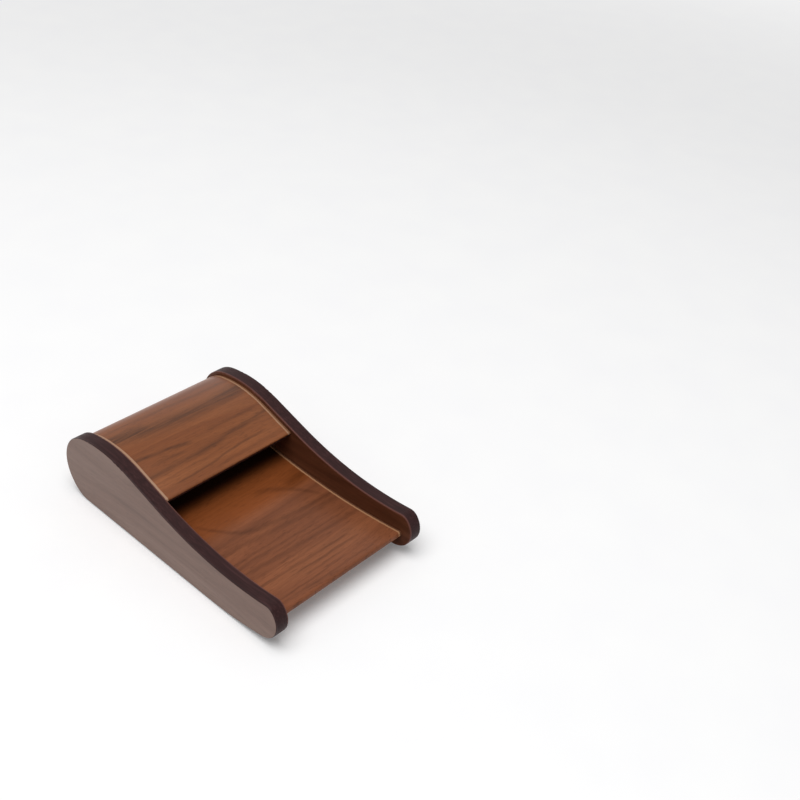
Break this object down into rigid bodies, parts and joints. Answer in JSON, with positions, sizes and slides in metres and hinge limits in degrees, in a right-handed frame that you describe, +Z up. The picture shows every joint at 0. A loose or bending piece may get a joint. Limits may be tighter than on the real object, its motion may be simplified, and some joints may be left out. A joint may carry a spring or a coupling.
{
  "type": "business card holder",
  "caption": "Desk card holder of walnut laminate: an open, gently hollowed card tray between two shaped side panels, under a hood that rolls over the back.",
  "frame": {"origin": "centre of the footprint, on the table under the pads", "axes": "+Z up, -Y towards the open front end of the tray, +X to the right seen from the front"},
  "size_m": [0.07, 0.111, 0.0293],
  "materials": {
    "hood_walnut": "satin lacquered walnut veneer, grain across",
    "tray_walnut": "satin lacquered walnut veneer, grain across",
    "side_outer_walnut": "satin lacquered walnut veneer, grain lengthwise",
    "side_inner_walnut": "satin lacquered walnut veneer",
    "dark_edge": "dark stained and lacquered board edge",
    "plain_laminate": "bent laminate core, pale edge",
    "dark_board": "stained board",
    "plain_beech": "unfinished beech",
    "brown_felt": "pressed felt"
  },
  "bodies": {
    "root": {"side_core_left": "dark_edge", "side_inner_veneer_left": "side_inner_walnut", "side_outer_veneer_left": "side_outer_walnut", "front_dowel_left": "plain_beech", "rear_dowel_left": "plain_beech", "front_pad_left": "brown_felt", "rear_pad_left": "brown_felt", "side_core_right": "dark_edge", "side_inner_veneer_right": "side_inner_walnut", "side_outer_veneer_right": "side_outer_walnut", "front_dowel_right": "plain_beech", "rear_dowel_right": "plain_beech", "front_pad_right": "brown_felt", "rear_pad_right": "brown_felt", "hood_veneer": "hood_walnut", "hood_core": "plain_laminate", "tray_veneer": "tray_walnut", "tray_core": "plain_laminate", "front_rail": "plain_beech", "rear_rail": "plain_beech", "bottom_board": "dark_board"}
  },
  "joints": []
}
